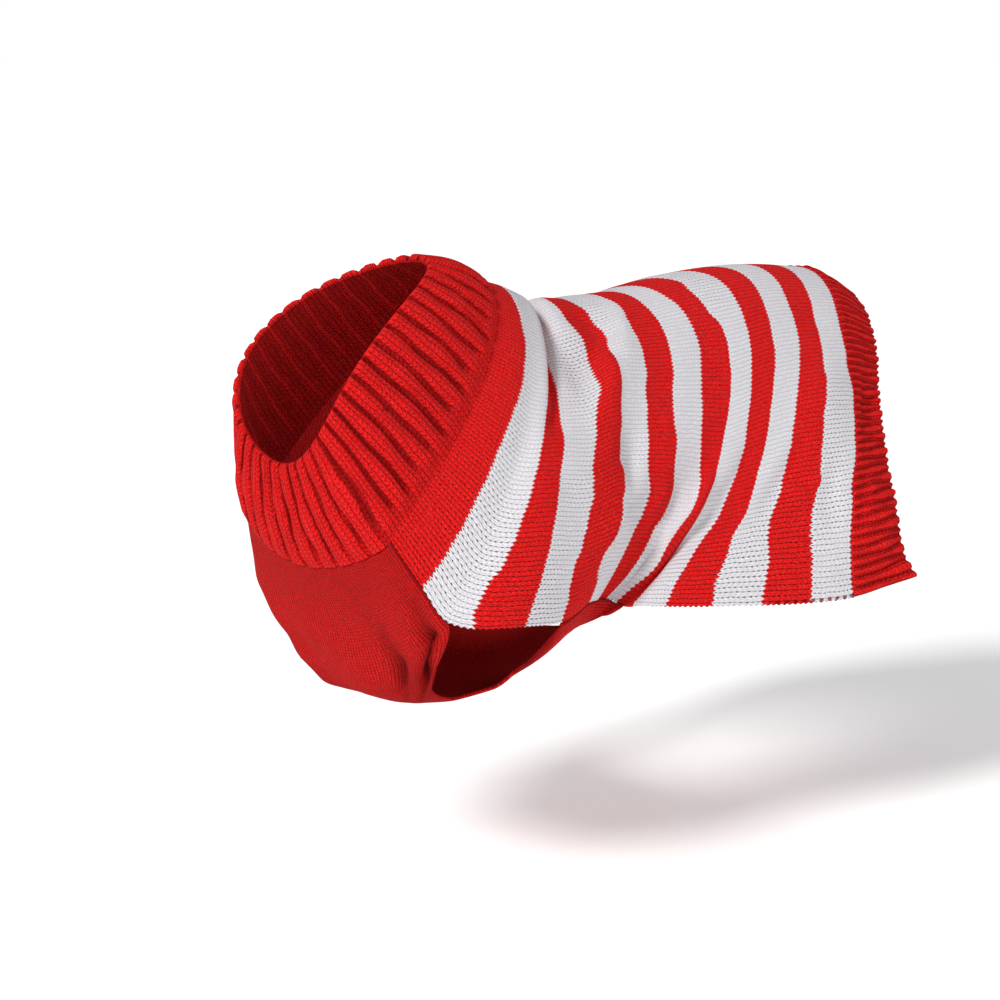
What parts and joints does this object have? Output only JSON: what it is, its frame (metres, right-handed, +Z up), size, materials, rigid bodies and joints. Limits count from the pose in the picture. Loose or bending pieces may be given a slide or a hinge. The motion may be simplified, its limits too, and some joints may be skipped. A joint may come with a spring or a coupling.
{
  "type": "dog sweater",
  "caption": "Knitted dog sweater in its worn, hollow form: striped piece over back and flanks, ribbed funnel collar, plain chest piece between the leg openings, and a ribbed hem band.",
  "frame": {"origin": "just under the cloth at the middle of the wearer's back, where the wearer carries the sweater", "axes": "+Y toward the tail, +X toward the wearer's left side, +Z up"},
  "size_m": [0.23, 0.4068, 0.2156],
  "materials": {
    "striped_knit": "stocking stitch, red and white stripes, matt wool-like yarn",
    "chest_knit": "fine stocking stitch, plain red",
    "collar_rib": "wide ribbing, plain red",
    "hem_rib": "narrow ribbing, plain red"
  },
  "bodies": {
    "root": {"back_panel": "striped_knit", "chest_panel": "chest_knit", "neck_rib": "collar_rib", "hem_rib": "hem_rib"}
  },
  "joints": []
}
